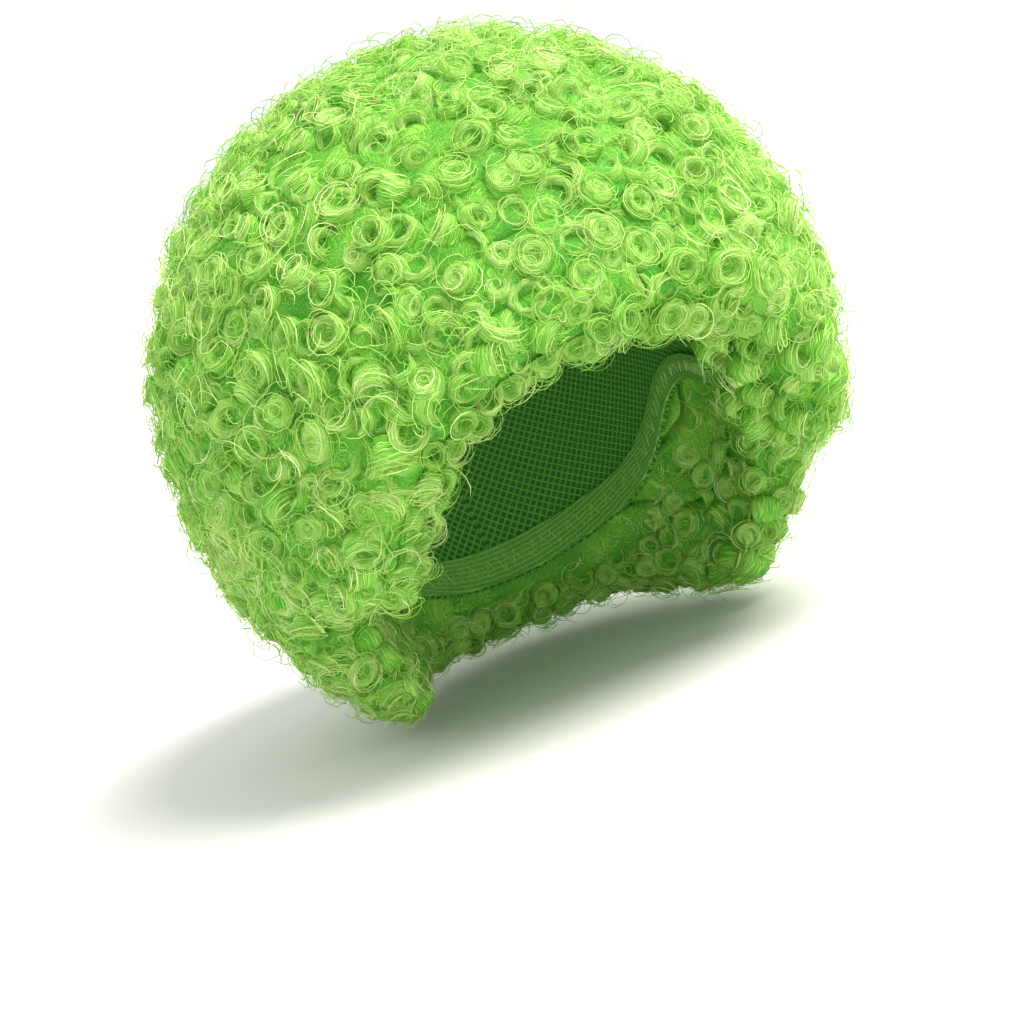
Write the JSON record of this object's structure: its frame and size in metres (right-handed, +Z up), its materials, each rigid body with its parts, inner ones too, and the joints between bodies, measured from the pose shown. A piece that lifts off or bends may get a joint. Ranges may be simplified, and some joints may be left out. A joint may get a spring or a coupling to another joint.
{
  "type": "clown wig",
  "caption": "Round lime-green clown wig of tight curls, in its worn shape: an open cap with an elastic edge under rings of curled hair.",
  "frame": {"origin": "where the top of a head touches the inside of the cap", "axes": "+Z up as worn, the face opening towards -Y, +X towards the wearer's left side"},
  "size_m": [0.2761, 0.2939, 0.2617],
  "materials": {
    "hair": "satin curled synthetic fibre",
    "cap_net": "matt stretch net",
    "elastic": "matt ribbed elastic"
  },
  "bodies": {
    "root": {"cap": "cap_net", "elastic_band": "elastic", "crown_whorl": "hair", "weft_01": "hair", "weft_02": "hair", "weft_03": "hair", "weft_04": "hair", "weft_05": "hair", "weft_06": "hair", "weft_07": "hair", "weft_08": "hair", "weft_09": "hair", "weft_10": "hair", "weft_11": "hair", "hairline_weft": "hair"}
  },
  "joints": []
}
